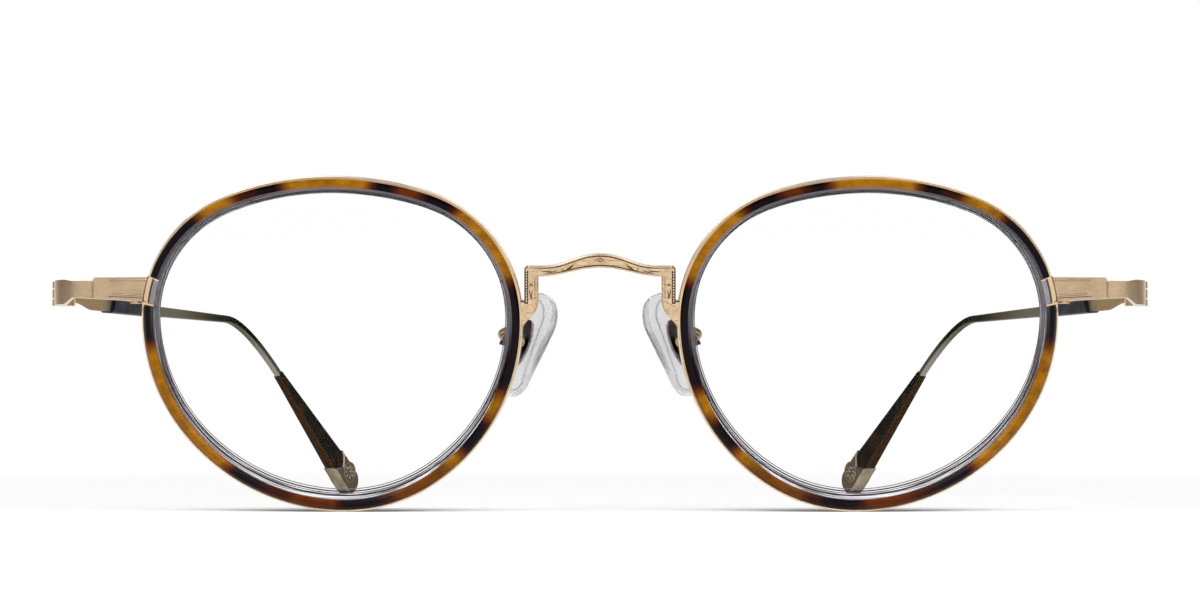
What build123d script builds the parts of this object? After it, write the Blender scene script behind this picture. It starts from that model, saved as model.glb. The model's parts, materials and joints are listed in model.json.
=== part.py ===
from build123d import *
from math import asin, atan2, cos, degrees, radians, sin, tan
import os

os.makedirs("parts", exist_ok=True)

# Millimetres and degrees. The wearer's left half (+X) is modelled and then mirrored.
# The front faces -Y, the temples run to +Y, and the frame stands on Z = 0.

# Lens outline, boxed size, and how the front is set
lens_width = 47.0
lens_height = 41.0
lens_gap = 22.0
widest_rise = 3.2
foot_shift = 1.4
brow_temporal_fullness = 0.68
brow_nasal_fullness = 0.74
cheek_nasal_fullness = 0.60
cheek_temporal_fullness = 0.04
base_radius = 132.0
wrap_angle = 4.0
front_tilt = 8.0

# Section of the ringed rim, measured outward from the lens edge and forward from its bevel
rim_outer = 1.05
rim_inner = 0.50
rim_front = 0.50
rim_back = 0.95
lip_wall = 0.26
lip_front = 1.05
ring_inner = 0.50
ring_front = 1.45
ring_edge = 0.35
lens_front = 0.45
lens_back = 1.35
front_bevel = 0.40
back_bevel = 1.20
groove_clearance = 0.03
blank_depth = 8.0

# Bridge bar and its two legs, in the tilted plane of the front
bridge_depth = 1.70
bridge_setback = 0.20
crest_height = 11.85
crest_thickness = 1.75
shoulder_height = 10.30
shoulder_inset = 1.36
shoulder_start = 7.20
bar_thickness = 1.35
leg_width = 1.80
leg_taper_height = 5.90
leg_foot_height = 1.30
leg_root = 0.90
shoulder_round = 0.30
bridge_edge = 0.22

# End piece, its panel and its corner, placed from the side of the lens and the lens centre
panel_thickness = 1.60
panel_height = 3.15
panel_rise = 7.31
panel_length = 7.30
panel_bite = 2.00
panel_shoulder = 1.60
waist_top_drop = 0.43
waist_foot_rise = 0.60
waist_end = 2.30
corner_top_drop = 0.21
corner_radius = 4.60
panel_sweep = 8.8
lug_drop = 0.23
lug_run = 1.10
rib_below = 5.1
rib_above = 3.4
rib_gap = 0.10
rib_front = 1.25
seam_width = 0.14
seam_depth = 0.10

# Closing block that splits the rim, and its screw
block_width = 2.60
block_depth = 2.20
block_bite = 0.30
block_inset = 0.30
block_roof = 0.40
split_gap = 0.20
rim_screw_radius = 0.50

# Temple hinge
hinge_offset = 12.35
hinge_setback = 10.60
knuckle_radius = 1.50
knuckle_gap = 0.15
middle_knuckle = 1.14
outer_knuckle = 0.85
hinge_pin_radius = 0.60
pin_clearance = 0.04
leaf_thickness = 0.60
leaf_width = 1.70
screw_head_radius = 0.95
screw_head_height = 0.35
screw_slot = 0.22

# Temple
temple_to_bend = 99.5
temple_drop_length = 40.5
temple_inward = 7.2
temple_rise = 0.4
temple_fall = 1.05
temple_thickness = 1.15
butt_height = 1.80
butt_length = 6.0
stem_start = 13.5
stem_height = 1.60
wire_thickness = 1.00
wire_height = 1.08
wire_round = 0.20
bend_radius = 27.0
tip_heading = 31.5
sleeve_start = 19.0
sleeve_length = 21.9
sleeve_height = 1.95
sleeve_thickness = 1.90
sleeve_slant = 1.2
sleeve_taper = 0.08
sleeve_round = 0.40

# Temple tip and its end cap
tip_start = 12.5
tip_start_height = 1.35
tip_start_thickness = 1.30
tip_height = 3.90
tip_thickness = 2.20
tip_start_round = 0.30
tip_round = 0.50
core_end = 29.0
cap_length = 7.2
cap_height = 4.10
cap_thickness = 2.60
cap_point = 1.60
cap_edge = 0.35

# Nose pads, their cores, boxes and arms
pad_inset = 1.50
pad_setback = 7.50
pad_rise = 0.31
pad_frontal = 20.0
pad_splay = 38.0
pad_length = 14.0
pad_top_radius = 3.90
pad_foot_radius = 2.50
pad_thickness = 2.00
pad_round = 0.80
pad_back_edge = 0.50
core_length = 6.4
core_width = 3.2
core_thickness = 0.50
lug_half = 0.55
lug_length = 1.50
pad_axis_offset = 2.10
pad_screw_radius = 0.40
box_gap = 0.12
box_wall = 0.45
box_length = 2.20
box_face = 1.35
box_back = 3.50
arm_radius = 0.55
arm_sink = 0.20
arm_root_height = 2.10
arm_root_run = 1.20
arm_root_bend = 1.60
arm_bow_run = 1.60
arm_bow_bend = 1.10

# Derived places of the front
half_width = lens_width / 2
tilt_sin = sin(radians(front_tilt))
tilt_cos = cos(radians(front_tilt))
wrap_sin = sin(radians(wrap_angle))
wrap_cos = cos(radians(wrap_angle))
lens_x = (lens_width + lens_gap) / 2
rim_half_height = lens_height / 2 + rim_outer
rim_foot_sag = rim_half_height**2 / (2 * base_radius)
lens_level = rim_half_height * tilt_cos - (rim_foot_sag - lip_front) * tilt_sin
panel_level = lens_level + panel_rise
panel_angle = degrees(atan2(panel_rise / tilt_cos, half_width))
rib_start = panel_angle - rib_below
rib_end = panel_angle + rib_above
temple_level = panel_level - temple_fall

# The drop of the temple brings the rounded end of its tip down to Z = 0
cap_end_radius = cap_height / 2
bend_level = temple_level + temple_to_bend * sin(radians(temple_rise))
drop_angle = degrees(asin((bend_level - cap_end_radius) / (temple_drop_length - cap_end_radius)))
temple_reach = hinge_setback + temple_to_bend * cos(radians(temple_inward))
drop_reach = (temple_drop_length - cap_end_radius) * cos(radians(drop_angle)) * cos(radians(tip_heading))
depth_behind = temple_reach + drop_reach + cap_end_radius
front_lean = rim_half_height * tilt_sin
front_y = (front_lean - depth_behind) / 2

lens_plane = Plane(
    origin=(lens_x, front_y, lens_level),
    x_dir=(wrap_cos, wrap_sin, 0),
    z_dir=(wrap_sin * tilt_cos, -wrap_cos * tilt_cos, -tilt_sin),
)
lens_axis = Axis(lens_plane.origin, lens_plane.z_dir)
curve_centre = lens_plane.from_local_coords((0, 0, -base_radius))


def quarter_arcs(width, height, share):
    # A quarter of the outline: a small side arc that runs into a wide crown arc
    side = height * (height + share * (width - height)) / width
    crown = width * (width + height - 2 * share * height) / (2 * height * (1 - share))
    turn = degrees(atan2(abs(crown - height), abs(width - side)))
    return side, crown, turn


def outline(grow):
    # The lens outline, grown outward by the given amount, on the lens plane
    brow = lens_height / 2 - widest_rise
    cheek = lens_height / 2 + widest_rise
    quarters = (
        (1, 1, half_width, brow, brow_temporal_fullness),
        (-1, 1, half_width, brow, brow_nasal_fullness),
        (-1, -1, half_width - foot_shift, cheek, cheek_nasal_fullness),
        (1, -1, half_width + foot_shift, cheek, cheek_temporal_fullness),
    )
    with BuildSketch(lens_plane) as sketch:
        with BuildLine():
            for index, (across, upward, width, height, share) in enumerate(quarters):
                side, crown, turn = quarter_arcs(width, height, share)
                side_first = index % 2 == 0
                side_angle = 90 * index + (0 if side_first else 90 - turn)
                crown_angle = 90 * index + (turn if side_first else 0)
                middle = across * (half_width - width)
                side_centre = (middle + across * (width - side), widest_rise)
                crown_centre = (middle, widest_rise + upward * (height - crown))
                CenterArc(side_centre, side + grow, side_angle, turn)
                CenterArc(crown_centre, crown + grow, crown_angle, 90 - turn)
        make_face()
    return sketch.sketch


def band(outer, inner, front, back):
    # A hoop that follows the lens edge, between two spheres of the base curve
    with BuildPart() as hoop:
        extrude(outline(outer), amount=blank_depth, both=True)
        extrude(outline(-inner), amount=blank_depth, both=True, mode=Mode.SUBTRACT)
        with Locations(curve_centre):
            Sphere(base_radius + front, mode=Mode.INTERSECT)
            Sphere(base_radius - back, mode=Mode.SUBTRACT)
    return hoop.part


def lens_blank(grow):
    # The bevelled lens, or the groove that takes it when it is grown
    with BuildPart() as blank:
        extrude(outline(grow), amount=blank_depth, both=True)
        with Locations(curve_centre):
            Sphere(base_radius + lens_front + grow, mode=Mode.INTERSECT)
            Sphere(base_radius - lens_back - grow, mode=Mode.SUBTRACT)
        spheres = blank.faces().filter_by(GeomType.SPHERE).sort_by(lens_axis)
        chamfer(spheres[-1].outer_wire().edges(), front_bevel)
        spheres = blank.faces().filter_by(GeomType.SPHERE).sort_by(lens_axis)
        chamfer(spheres[0].outer_wire().edges(), back_bevel)
    return blank.part


def sector(first_angle, last_angle):
    # A wedge from the lens centre that covers the given angles of the rim
    reach = 2 * lens_width
    first = radians(first_angle)
    last = radians(last_angle)
    with BuildPart() as wedge:
        with BuildSketch(lens_plane):
            with BuildLine():
                Polyline(
                    (0, 0),
                    (reach * cos(first), reach * sin(first)),
                    (reach * cos(last), reach * sin(last)),
                    close=True,
                )
            make_face()
        extrude(amount=blank_depth, both=True)
    return wedge.part


def slotted_screw(plane, shank_radius, length):
    # A screw whose shank runs along the plane's normal up to the slotted head at its end
    with BuildPart() as screw:
        with BuildSketch(plane):
            Circle(shank_radius)
        extrude(amount=length)
        with BuildSketch(plane.offset(length)):
            Circle(screw_head_radius * shank_radius / hinge_pin_radius)
        extrude(amount=screw_head_height)
        with BuildSketch(plane.offset(length + screw_head_height)):
            Rectangle(3 * screw_head_radius, screw_slot)
        extrude(amount=-screw_head_height / 2, mode=Mode.SUBTRACT)
    return screw.part


def prism(grow):
    # Everything inside the lens outline grown by the given amount
    with BuildPart() as core:
        extrude(outline(grow), amount=blank_depth, both=True)
    return core.part


# Lens with a bevelled edge
with BuildPart() as lens:
    add(lens_blank(0))

# Metal rim: a grooved body with a thin outer lip round the ring, split at the closing block
with BuildPart() as rim_lip:
    add(band(rim_outer, lip_wall - rim_outer, lip_front, -rim_front))
    add(sector(rib_start, rib_end), mode=Mode.SUBTRACT)
with BuildPart() as rim:
    add(band(rim_outer, rim_inner, rim_front, rim_back))
    add(rim_lip.part)
    add(lens_blank(groove_clearance), mode=Mode.SUBTRACT)
    with BuildSketch(Plane.XY.offset(panel_level - split_gap / 2)):
        with Locations((lens_x + half_width, front_y + hinge_setback / 2)):
            Rectangle(lens_width / 2, hinge_setback * 2)
    extrude(amount=split_gap, mode=Mode.SUBTRACT)

# Tortoise ring: a bevelled band in front of the rim, open where the end piece crosses it
with BuildPart() as acetate_rim:
    add(band(rim_outer - lip_wall, ring_inner, ring_front, -rim_front))
    front_face = acetate_rim.faces().filter_by(GeomType.SPHERE).sort_by(lens_axis)[-1]
    chamfer(front_face.edges(), ring_edge)
    add(sector(rib_start - rib_gap, rib_end + rib_gap), mode=Mode.SUBTRACT)

# End piece: a rib over the rim, a panel that turns back to the hinge, and the upper closing lug
panel_top = panel_level + panel_height / 2
panel_foot = panel_level - panel_height / 2
waist_top = panel_top - waist_top_drop
waist_foot = panel_foot + waist_foot_rise
corner_top = panel_top - corner_top_drop
corner_foot = panel_foot - lug_drop
panel_start = lens_x + half_width
panel_end = panel_start + panel_length
hinge_x = panel_start + hinge_offset
hinge_y = front_y + hinge_setback
end_y = hinge_y - knuckle_radius - knuckle_gap - leaf_thickness
panel_turn = radians(panel_sweep)
panel_run = (hinge_x - corner_radius - panel_start + panel_bite) / cos(panel_turn)
side_height = (panel_level - lens_level) / tilt_cos
side_sag = (half_width**2 + side_height**2) / (2 * base_radius)
rim_side = lens_plane.from_local_coords((half_width, side_height, -side_sag))
block_x = rim_side.X + rim_outer + block_width / 2 - block_inset
corner_run = hinge_x - corner_radius * (1 - sin(panel_turn)) - block_x
panel_back = end_y - corner_radius * cos(panel_turn) - corner_run * tan(panel_turn)
block_y = panel_back + panel_thickness / 2 / cos(panel_turn) - block_bite + block_depth / 2
with BuildPart() as rib:
    add(band(rim_outer, ring_inner, rib_front, -rim_front))
    add(sector(rib_start, rib_end), mode=Mode.INTERSECT)
with BuildPart() as end_piece:
    with BuildSketch(Plane.XY.offset(corner_foot)):
        with BuildLine():
            corner = JernArc((hinge_x, end_y), (0, -1), corner_radius, panel_sweep - 90)
            Line(corner @ 1, corner @ 1 + (corner % 1) * panel_run)
        trace(line_width=panel_thickness)
    extrude(amount=panel_top - corner_foot)
    with BuildSketch(Plane.XZ.offset(-hinge_y)):
        with BuildLine():
            Spline(
                (panel_end, waist_top),
                (panel_end - panel_shoulder, panel_top),
                tangents=((0, 1), (-1, 0)),
            )
            Polyline(
                (panel_end - panel_shoulder, panel_top),
                (lens_x, panel_top),
                (lens_x, panel_foot),
                (panel_start, panel_foot),
                (hinge_x - waist_end, waist_foot),
                (hinge_x - lug_run, corner_foot),
                (hinge_x + leaf_width, corner_foot),
                (hinge_x + leaf_width, corner_top),
                (hinge_x - lug_run, corner_top),
                (hinge_x - waist_end, waist_top),
                (panel_end, waist_top),
            )
        make_face()
    extrude(amount=2 * hinge_setback, both=True, mode=Mode.INTERSECT)
    with BuildSketch(Plane.XY.offset(panel_level + split_gap / 2)):
        with Locations((block_x, block_y)):
            Rectangle(block_width, block_depth)
    extrude(amount=panel_height / 2 - split_gap)
    with BuildSketch(Plane.XY.offset(panel_level)):
        with Locations((block_x, block_y)):
            Circle(rim_screw_radius)
    extrude(amount=panel_height / 2 - block_roof, mode=Mode.SUBTRACT)
    add(prism(rim_outer), mode=Mode.SUBTRACT)
    add(rib.part)
    seam_run = ((corner @ 1).X - panel_end) / cos(panel_turn)
    seam = corner @ 1 + (corner % 1) * seam_run
    with BuildSketch(Plane((seam.X, seam.Y, corner_foot), x_dir=corner % 1, z_dir=(0, 0, 1))):
        with Locations((0, panel_thickness / 2)):
            Rectangle(seam_width, 2 * seam_depth)
    extrude(amount=panel_top - corner_foot, mode=Mode.SUBTRACT)

# Closing block: the lower half of the lug, drawn up to the end piece by its screw
block_foot = panel_foot + split_gap
with BuildPart() as closing_block:
    with BuildSketch(Plane.XY.offset(block_foot)):
        with Locations((block_x, block_y)):
            Rectangle(block_width, block_depth)
            Circle(rim_screw_radius, mode=Mode.SUBTRACT)
    extrude(amount=panel_level - split_gap / 2 - block_foot)
    add(prism(rim_outer), mode=Mode.SUBTRACT)
    add(end_piece.part, mode=Mode.SUBTRACT)
screw_top = panel_top - block_roof
with BuildPart() as rim_screw:
    add(
        slotted_screw(
            Plane((block_x, block_y, screw_top), z_dir=(0, 0, -1)),
            rim_screw_radius,
            screw_top - block_foot,
        )
    )

# Front half of the hinge: a leaf on the end piece with the upper and lower knuckles
hinge_level = (corner_top + corner_foot) / 2
middle_foot = hinge_level - middle_knuckle / 2
knuckle_feet = (
    hinge_level + middle_knuckle / 2 + knuckle_gap,
    middle_foot - knuckle_gap - outer_knuckle,
)
pin_foot = knuckle_feet[1]
pin_top = knuckle_feet[0] + outer_knuckle
with BuildPart() as hinge_front:
    with BuildSketch(Plane.XY.offset(corner_foot)):
        with Locations((hinge_x, end_y + leaf_thickness / 2)):
            Rectangle(leaf_width, leaf_thickness)
    extrude(amount=corner_top - corner_foot)
    for foot in knuckle_feet:
        with BuildSketch(Plane.XY.offset(foot)):
            with Locations((hinge_x, hinge_y)):
                Circle(knuckle_radius)
            with Locations((hinge_x, (hinge_y + end_y) / 2)):
                Rectangle(2 * hinge_pin_radius, hinge_y - end_y)
        extrude(amount=outer_knuckle)
    with BuildSketch(Plane.XY.offset(pin_foot)):
        with Locations((hinge_x, hinge_y)):
            Circle(hinge_pin_radius)
    extrude(amount=pin_top - pin_foot, mode=Mode.SUBTRACT)
    with BuildSketch(Plane.XY.offset(pin_top)):
        with Locations((hinge_x, hinge_y)):
            Circle(screw_head_radius)
    extrude(amount=-screw_head_height, mode=Mode.SUBTRACT)
pin_length = pin_top - pin_foot - screw_head_height
with BuildPart() as hinge_screw:
    add(slotted_screw(Plane((hinge_x, hinge_y, pin_foot)), hinge_pin_radius, pin_length))

# Temple half of the hinge: the middle knuckle and the leaf that carries the temple
leaf_y = hinge_y + knuckle_radius + knuckle_gap
butt_foot = hinge_level - butt_height / 2
with BuildPart() as hinge_temple:
    with BuildSketch(Plane.XY.offset(middle_foot)):
        with Locations((hinge_x, hinge_y)):
            Circle(knuckle_radius)
        with Locations((hinge_x, (hinge_y + leaf_y) / 2)):
            Rectangle(2 * hinge_pin_radius, leaf_y - hinge_y)
        with Locations((hinge_x, hinge_y)):
            Circle(hinge_pin_radius + pin_clearance, mode=Mode.SUBTRACT)
    extrude(amount=middle_knuckle)
    with BuildSketch(Plane.XY.offset(butt_foot)):
        with Locations((hinge_x, leaf_y + leaf_thickness / 2)):
            Rectangle(leaf_width, leaf_thickness)
    extrude(amount=butt_height)

# Temple: a cranked butt, a flat stem, a tapering wire, the ear bend and the core of the tip
inward = radians(temple_inward)
rise = radians(temple_rise)
heading = radians(tip_heading)
drop = radians(drop_angle)
temple_run = Vector(-sin(inward) * cos(rise), cos(inward) * cos(rise), sin(rise))
temple_side_normal = Vector(cos(inward), sin(inward), 0)
drop_run = Vector(-sin(heading) * cos(drop), cos(heading) * cos(drop), -sin(drop))
drop_side_normal = Vector(cos(heading), sin(heading), 0)
temple_root = Vector(hinge_x, leaf_y + leaf_thickness, temple_level)
temple_side = Plane(temple_root, x_dir=temple_run, z_dir=temple_side_normal)
bend_corner = Vector(hinge_x, hinge_y, temple_level) + temple_run * temple_to_bend
bend_turn = radians(temple_run.get_angle(drop_run))
bend_reach = bend_radius * tan(bend_turn / 2)
bend_start = bend_corner - temple_run * bend_reach
bend_end = bend_corner + drop_run * bend_reach
stem_end = sleeve_start + sleeve_length / 2
butt_lift = hinge_level - temple_level
with BuildPart() as temple:
    with BuildSketch(temple_side):
        with BuildLine():
            upper = butt_lift + butt_height / 2
            lower = butt_lift - butt_height / 2
            Line((-leaf_thickness, lower), (-leaf_thickness, upper))
            Line((-leaf_thickness, upper), (butt_length, upper))
            Spline((butt_length, upper), (stem_start, stem_height / 2), tangents=((1, 0), (1, 0)))
            Line((stem_start, stem_height / 2), (stem_end, stem_height / 2))
            Line((stem_end, stem_height / 2), (stem_end, -stem_height / 2))
            Line((stem_end, -stem_height / 2), (stem_start, -stem_height / 2))
            Spline((stem_start, -stem_height / 2), (butt_length, lower), tangents=((-1, 0), (-1, 0)))
            Line((butt_length, lower), (-leaf_thickness, lower))
        make_face()
    extrude(amount=temple_thickness / 2, both=True)
    stem_face = temple_side.from_local_coords((stem_end, 0, 0))
    with BuildSketch(Plane(stem_face, x_dir=temple_side_normal, z_dir=temple_run)):
        RectangleRounded(temple_thickness, stem_height, wire_round)
    with BuildSketch(Plane(bend_start, x_dir=temple_side_normal, z_dir=temple_run)):
        RectangleRounded(wire_thickness, wire_height, wire_round)
    loft()
    with BuildLine() as bend_path:
        TangentArc(bend_start, bend_end, tangent=temple_run)
        Line(bend_end, bend_corner + drop_run * core_end)
    with BuildSketch(Plane(bend_start, x_dir=temple_side_normal, z_dir=temple_run)):
        RectangleRounded(wire_thickness, wire_height, wire_round)
    sweep(path=bend_path.wire())
    with BuildSketch(Plane.XY.offset(temple_level)):
        with Locations((hinge_x, leaf_y)):
            Rectangle(2 * leaf_width, 2 * leaf_thickness)
    extrude(amount=panel_height, both=True, mode=Mode.SUBTRACT)

# Sleeve: an acetate cover with a slanted nose that slides over the stem
sleeve_end = sleeve_start + sleeve_length
with BuildPart() as temple_sleeve:
    with BuildSketch(temple_side):
        with BuildLine():
            Polyline(
                (sleeve_start, -sleeve_height / 2),
                (sleeve_start + sleeve_slant, sleeve_height / 2),
                (sleeve_end, sleeve_height / 2 - sleeve_taper),
                (sleeve_end, sleeve_taper - sleeve_height / 2),
                close=True,
            )
        make_face()
    extrude(amount=sleeve_thickness / 2, both=True)
    long_edges = temple_sleeve.edges().sort_by(SortBy.LENGTH)[-4:]
    fillet(long_edges, sleeve_round)
    add(temple.part, mode=Mode.SUBTRACT)

# End cap: a flat metal shoe with a round end and a pointed mouth
cap_centre = temple_drop_length - cap_end_radius
cap_start = temple_drop_length - cap_length
drop_side = Plane(bend_corner, x_dir=drop_run, z_dir=drop_side_normal)
with BuildPart() as tip_cap:
    with BuildSketch(drop_side):
        with BuildLine():
            Polyline(
                (cap_centre, cap_end_radius),
                (cap_start, cap_end_radius),
                (cap_start + cap_point, 0),
                (cap_start, -cap_end_radius),
                (cap_centre, -cap_end_radius),
            )
            ThreePointArc(
                (cap_centre, -cap_end_radius),
                (cap_centre + cap_end_radius, 0),
                (cap_centre, cap_end_radius),
            )
        make_face()
    extrude(amount=cap_thickness / 2, both=True)
    sides = tip_cap.faces().sort_by(Axis(bend_corner, drop_side_normal))
    chamfer(sides[0].edges() + sides[-1].edges(), cap_edge)

# Tip: a tapering acetate paddle round the core, let into the mouth of the cap
with BuildPart() as temple_tip:
    with BuildSketch(Plane(drop_side.from_local_coords((tip_start, 0, 0)), drop_side_normal, drop_run)):
        RectangleRounded(tip_start_thickness, tip_start_height, tip_start_round)
    tongue = cap_start + cap_point
    with BuildSketch(Plane(drop_side.from_local_coords((tongue, 0, 0)), drop_side_normal, drop_run)):
        RectangleRounded(tip_thickness, tip_height, tip_round)
    loft()
    add(temple.part, mode=Mode.SUBTRACT)
    add(tip_cap.part, mode=Mode.SUBTRACT)

# Nose pad axes: up along the pad, across it from front to back, and outward from the nose
frontal = radians(pad_frontal)
splay = radians(pad_splay)
pad_up = Vector(-sin(frontal), 0, cos(frontal))
pad_across = Vector(sin(splay), cos(splay), 0)
pad_plane = Plane(
    (lens_gap / 2 - pad_inset, front_y + pad_setback, lens_level + pad_rise),
    x_dir=pad_up,
    z_dir=pad_across.cross(pad_up),
)
pad_axis = pad_plane.from_local_coords((0, 0, pad_axis_offset))
cheek_reach = lug_half + box_gap + box_wall
lug_top = pad_axis_offset + lug_length / 2 - box_gap
screw_side = Plane(pad_axis, x_dir=pad_plane.x_dir, z_dir=pad_plane.y_dir)
with BuildPart() as pad_core:
    with BuildSketch(pad_plane.offset(pad_thickness / 2 - core_thickness)):
        Ellipse(core_length / 2, core_width / 2)
    extrude(amount=core_thickness)
    with BuildSketch(pad_plane.offset(pad_thickness / 2)):
        Rectangle(lug_length, 2 * lug_half)
    extrude(amount=lug_top - pad_thickness / 2)
    with BuildSketch(screw_side):
        Circle(pad_screw_radius + pin_clearance)
    extrude(amount=2 * lug_half, both=True, mode=Mode.SUBTRACT)
with BuildPart() as nose_pad:
    with BuildSketch(pad_plane.offset(-pad_thickness / 2)):
        with Locations((pad_length / 2 - pad_top_radius, 0)):
            Circle(pad_top_radius)
        with Locations((pad_foot_radius - pad_length / 2, 0)):
            Circle(pad_foot_radius)
        make_hull()
    extrude(amount=pad_thickness)
    pad_faces = nose_pad.faces().sort_by(Axis(pad_plane.origin, pad_plane.z_dir))
    fillet(pad_faces[0].edges(), pad_round)
    pad_faces = nose_pad.faces().sort_by(Axis(pad_plane.origin, pad_plane.z_dir))
    chamfer(pad_faces[-1].edges(), pad_back_edge)
    add(pad_core.part, mode=Mode.SUBTRACT)

# Pad box: a channel whose cheeks hold the screw that the pad rocks on
with BuildPart() as pad_box:
    with BuildSketch(pad_plane.offset(box_face)):
        Rectangle(box_length, 2 * cheek_reach)
    extrude(amount=box_back - box_face)
    with BuildSketch(pad_plane.offset(box_face)):
        Rectangle(box_length, 2 * (lug_half + box_gap))
    extrude(amount=box_back - box_face - box_wall, mode=Mode.SUBTRACT)
    with BuildSketch(screw_side):
        Circle(pad_screw_radius)
    extrude(amount=cheek_reach, both=True, mode=Mode.SUBTRACT)
with BuildPart() as pad_screw:
    add(slotted_screw(screw_side.offset(-cheek_reach), pad_screw_radius, 2 * cheek_reach))

# Pad arm: a wire from the back of the rim that loops outward to the box
root_sag = (half_width**2 + arm_root_height**2) / (2 * base_radius)
root_depth = arm_sink - root_sag - rim_back
arm_root = lens_plane.from_local_coords((-half_width - arm_radius / 2, arm_root_height, root_depth))
arm_end = pad_plane.from_local_coords((0, 0, box_back - box_wall / 2))
arm_corners = (arm_root - lens_plane.z_dir * arm_root_run, arm_end + pad_plane.z_dir * arm_bow_run)
with BuildPart() as pad_arm:
    with BuildLine() as arm_path:
        FilletPolyline(arm_root, *arm_corners, arm_end, radius=(arm_root_bend, arm_bow_bend))
    with BuildSketch(Plane(arm_root, z_dir=-lens_plane.z_dir)):
        Circle(arm_radius)
    sweep(path=arm_path.wire())
    add(rim.part, mode=Mode.SUBTRACT)
    add(pad_box.part, mode=Mode.SUBTRACT)

# Bridge: one engraved bar that drops into two legs, each seated on the wall of its rim
bridge_plane = Plane(
    (0, front_y + bridge_setback, lens_level), x_dir=(1, 0, 0), z_dir=(0, -tilt_cos, -tilt_sin)
)
shoulder_half = lens_gap / 2 - shoulder_inset
leg_inner = shoulder_half - leg_width
with BuildPart() as bridge:
    with BuildSketch(bridge_plane):
        with BuildLine():
            Spline(
                (0, crest_height), (shoulder_start, shoulder_height), tangents=((1, 0), (1, 0))
            )
            Polyline(
                (shoulder_start, shoulder_height),
                (shoulder_half - shoulder_round, shoulder_height),
                (shoulder_half, shoulder_height - shoulder_round),
                (shoulder_half, leg_taper_height),
                (shoulder_half + leg_root, leg_taper_height),
                (shoulder_half + leg_root, leg_foot_height),
                (shoulder_half + leg_root / 2, leg_foot_height),
            )
            Spline(
                (shoulder_half + leg_root / 2, leg_foot_height),
                (leg_inner, leg_taper_height),
                tangents=((0, 1), (0, 1)),
            )
            Line((leg_inner, leg_taper_height), (leg_inner, shoulder_height - bar_thickness))
            Spline(
                (leg_inner, shoulder_height - bar_thickness),
                (0, crest_height - crest_thickness),
                tangents=((-1, 0), (-1, 0)),
            )
            mirror(about=Plane.YZ)
        make_face()
    extrude(amount=bridge_depth / 2, both=True)
    bridge_front = bridge.faces().sort_by(Axis(bridge_plane.origin, bridge_plane.z_dir))[-1]
    chamfer(bridge_front.edges(), bridge_edge)
    for half in (prism(rim_outer), mirror(prism(rim_outer), about=Plane.YZ, mode=Mode.PRIVATE)):
        add(half, mode=Mode.SUBTRACT)

# Every piece of the left half has a mirrored twin on the right
halves = {
    "lens": lens,
    "rim": rim,
    "acetate_rim": acetate_rim,
    "end_piece": end_piece,
    "closing_block": closing_block,
    "rim_screw": rim_screw,
    "hinge_front": hinge_front,
    "hinge_screw": hinge_screw,
    "hinge_temple": hinge_temple,
    "temple": temple,
    "temple_sleeve": temple_sleeve,
    "temple_tip": temple_tip,
    "tip_cap": tip_cap,
    "pad_arm": pad_arm,
    "pad_box": pad_box,
    "pad_screw": pad_screw,
    "pad_core": pad_core,
    "nose_pad": nose_pad,
}
for name, piece in halves.items():
    piece.part.label = name + "_left"
    export_step(piece.part, "parts/" + piece.part.label + ".step")
    with BuildPart() as twin:
        mirror(piece.part, about=Plane.YZ)
    twin.part.label = name + "_right"
    export_step(twin.part, "parts/" + twin.part.label + ".step")
bridge.part.label = "bridge"
export_step(bridge.part, "parts/bridge.step")
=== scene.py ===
import json
from math import acos, cos, pi, radians, sin

import bmesh
import bpy
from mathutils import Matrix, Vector
from mathutils.bvhtree import BVHTree


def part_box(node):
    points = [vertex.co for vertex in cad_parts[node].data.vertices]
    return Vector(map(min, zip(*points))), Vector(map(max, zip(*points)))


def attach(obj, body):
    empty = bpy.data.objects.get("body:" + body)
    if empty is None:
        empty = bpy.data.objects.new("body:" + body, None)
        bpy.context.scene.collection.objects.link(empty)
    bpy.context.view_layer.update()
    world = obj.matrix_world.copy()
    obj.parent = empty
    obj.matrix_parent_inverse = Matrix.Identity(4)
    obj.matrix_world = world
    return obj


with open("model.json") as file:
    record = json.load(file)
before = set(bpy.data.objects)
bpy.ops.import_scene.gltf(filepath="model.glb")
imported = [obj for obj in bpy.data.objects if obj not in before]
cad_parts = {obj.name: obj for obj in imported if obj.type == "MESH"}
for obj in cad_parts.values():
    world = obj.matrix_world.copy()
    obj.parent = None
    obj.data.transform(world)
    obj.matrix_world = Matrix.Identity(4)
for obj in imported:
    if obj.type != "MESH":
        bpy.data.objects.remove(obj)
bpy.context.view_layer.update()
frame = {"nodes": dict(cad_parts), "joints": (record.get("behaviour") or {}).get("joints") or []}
mm = 0.001
sides = {"left": 1, "right": -1}  # the wearer's side, and the sign of X there
lensLow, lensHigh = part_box("lens_left")
lensCentre = (lensLow + lensHigh) / 2 / mm  # both in millimetres
lensHalf = (lensHigh - lensLow) / 2 / mm
hinge = Vector(next(joint["pos_m"] for joint in frame["joints"] if joint["name"] == "temple_fold_left"))
print("frame loaded, nodes:", len(frame["nodes"]))


class Value:
    # a socket that can be added, multiplied and compared like a number
    def __init__(self, shader, socket):
        self.shader = shader
        self.socket = socket

    def __add__(self, other):
        return self.shader.maths("ADD", self, other)

    def __sub__(self, other):
        return self.shader.maths("SUBTRACT", self, other)

    def __rsub__(self, other):
        return self.shader.maths("SUBTRACT", other, self)

    def __mul__(self, other):
        return self.shader.maths("MULTIPLY", self, other)

    def __truediv__(self, other):
        return self.shader.maths("DIVIDE", self, other)

    def __rtruediv__(self, other):
        return self.shader.maths("DIVIDE", other, self)

    def __pow__(self, other):
        return self.shader.maths("POWER", self, other)

    def __gt__(self, other):
        return self.shader.maths("GREATER_THAN", self, other)

    def __lt__(self, other):
        return self.shader.maths("LESS_THAN", self, other)

    __radd__ = __add__
    __rmul__ = __mul__


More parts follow.
